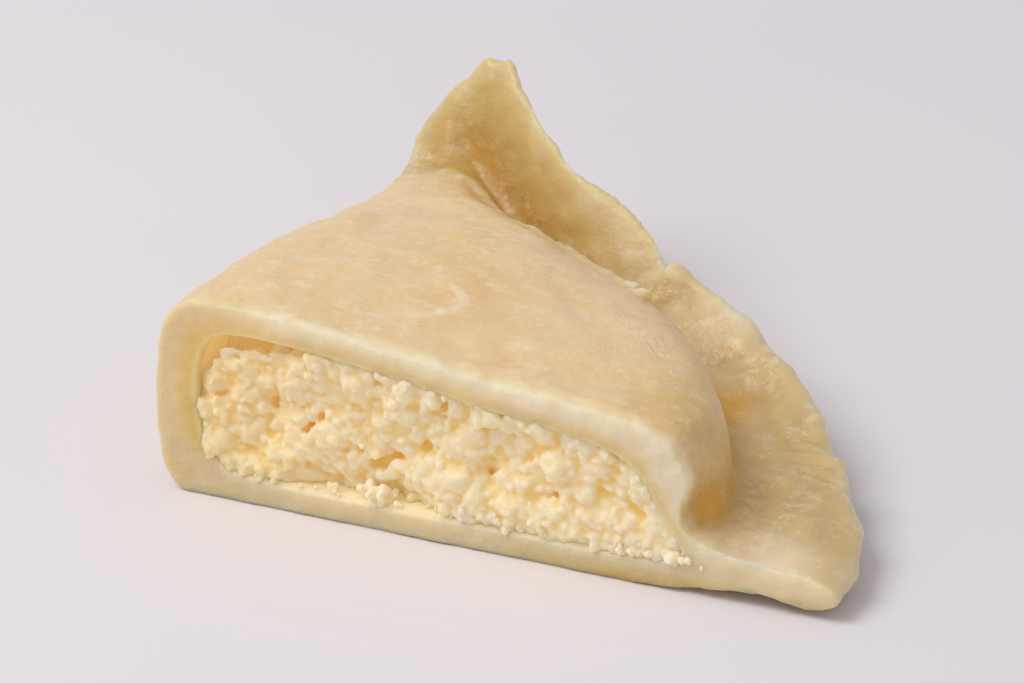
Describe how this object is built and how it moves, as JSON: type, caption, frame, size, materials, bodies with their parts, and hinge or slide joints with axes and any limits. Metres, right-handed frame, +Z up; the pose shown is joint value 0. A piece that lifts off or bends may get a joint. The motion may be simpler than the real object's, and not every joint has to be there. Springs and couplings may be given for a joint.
{
  "type": "halved pierogi dumpling",
  "caption": "Half of a boiled pierogi lying flat, cut through the middle: folded dough with a pinched flange and a raised corner round a crumbly curd filling that shows in the cut.",
  "frame": {"origin": "middle of the bounding box at the table, under the piece", "axes": "+X along the cut from the fold to the pinched rim, +Y from the cut back to the raised corner, +Z up; the cut face looks along -Y"},
  "size_m": [0.0452, 0.039, 0.016],
  "materials": {
    "boiled_dough": "moist, slightly translucent boiled dough, pale cream-yellow",
    "curd": "crumbly moist curd, cream-white"
  },
  "bodies": {
    "root": {"dough_wrapper": "boiled_dough", "curd_filling": "curd"}
  },
  "joints": []
}
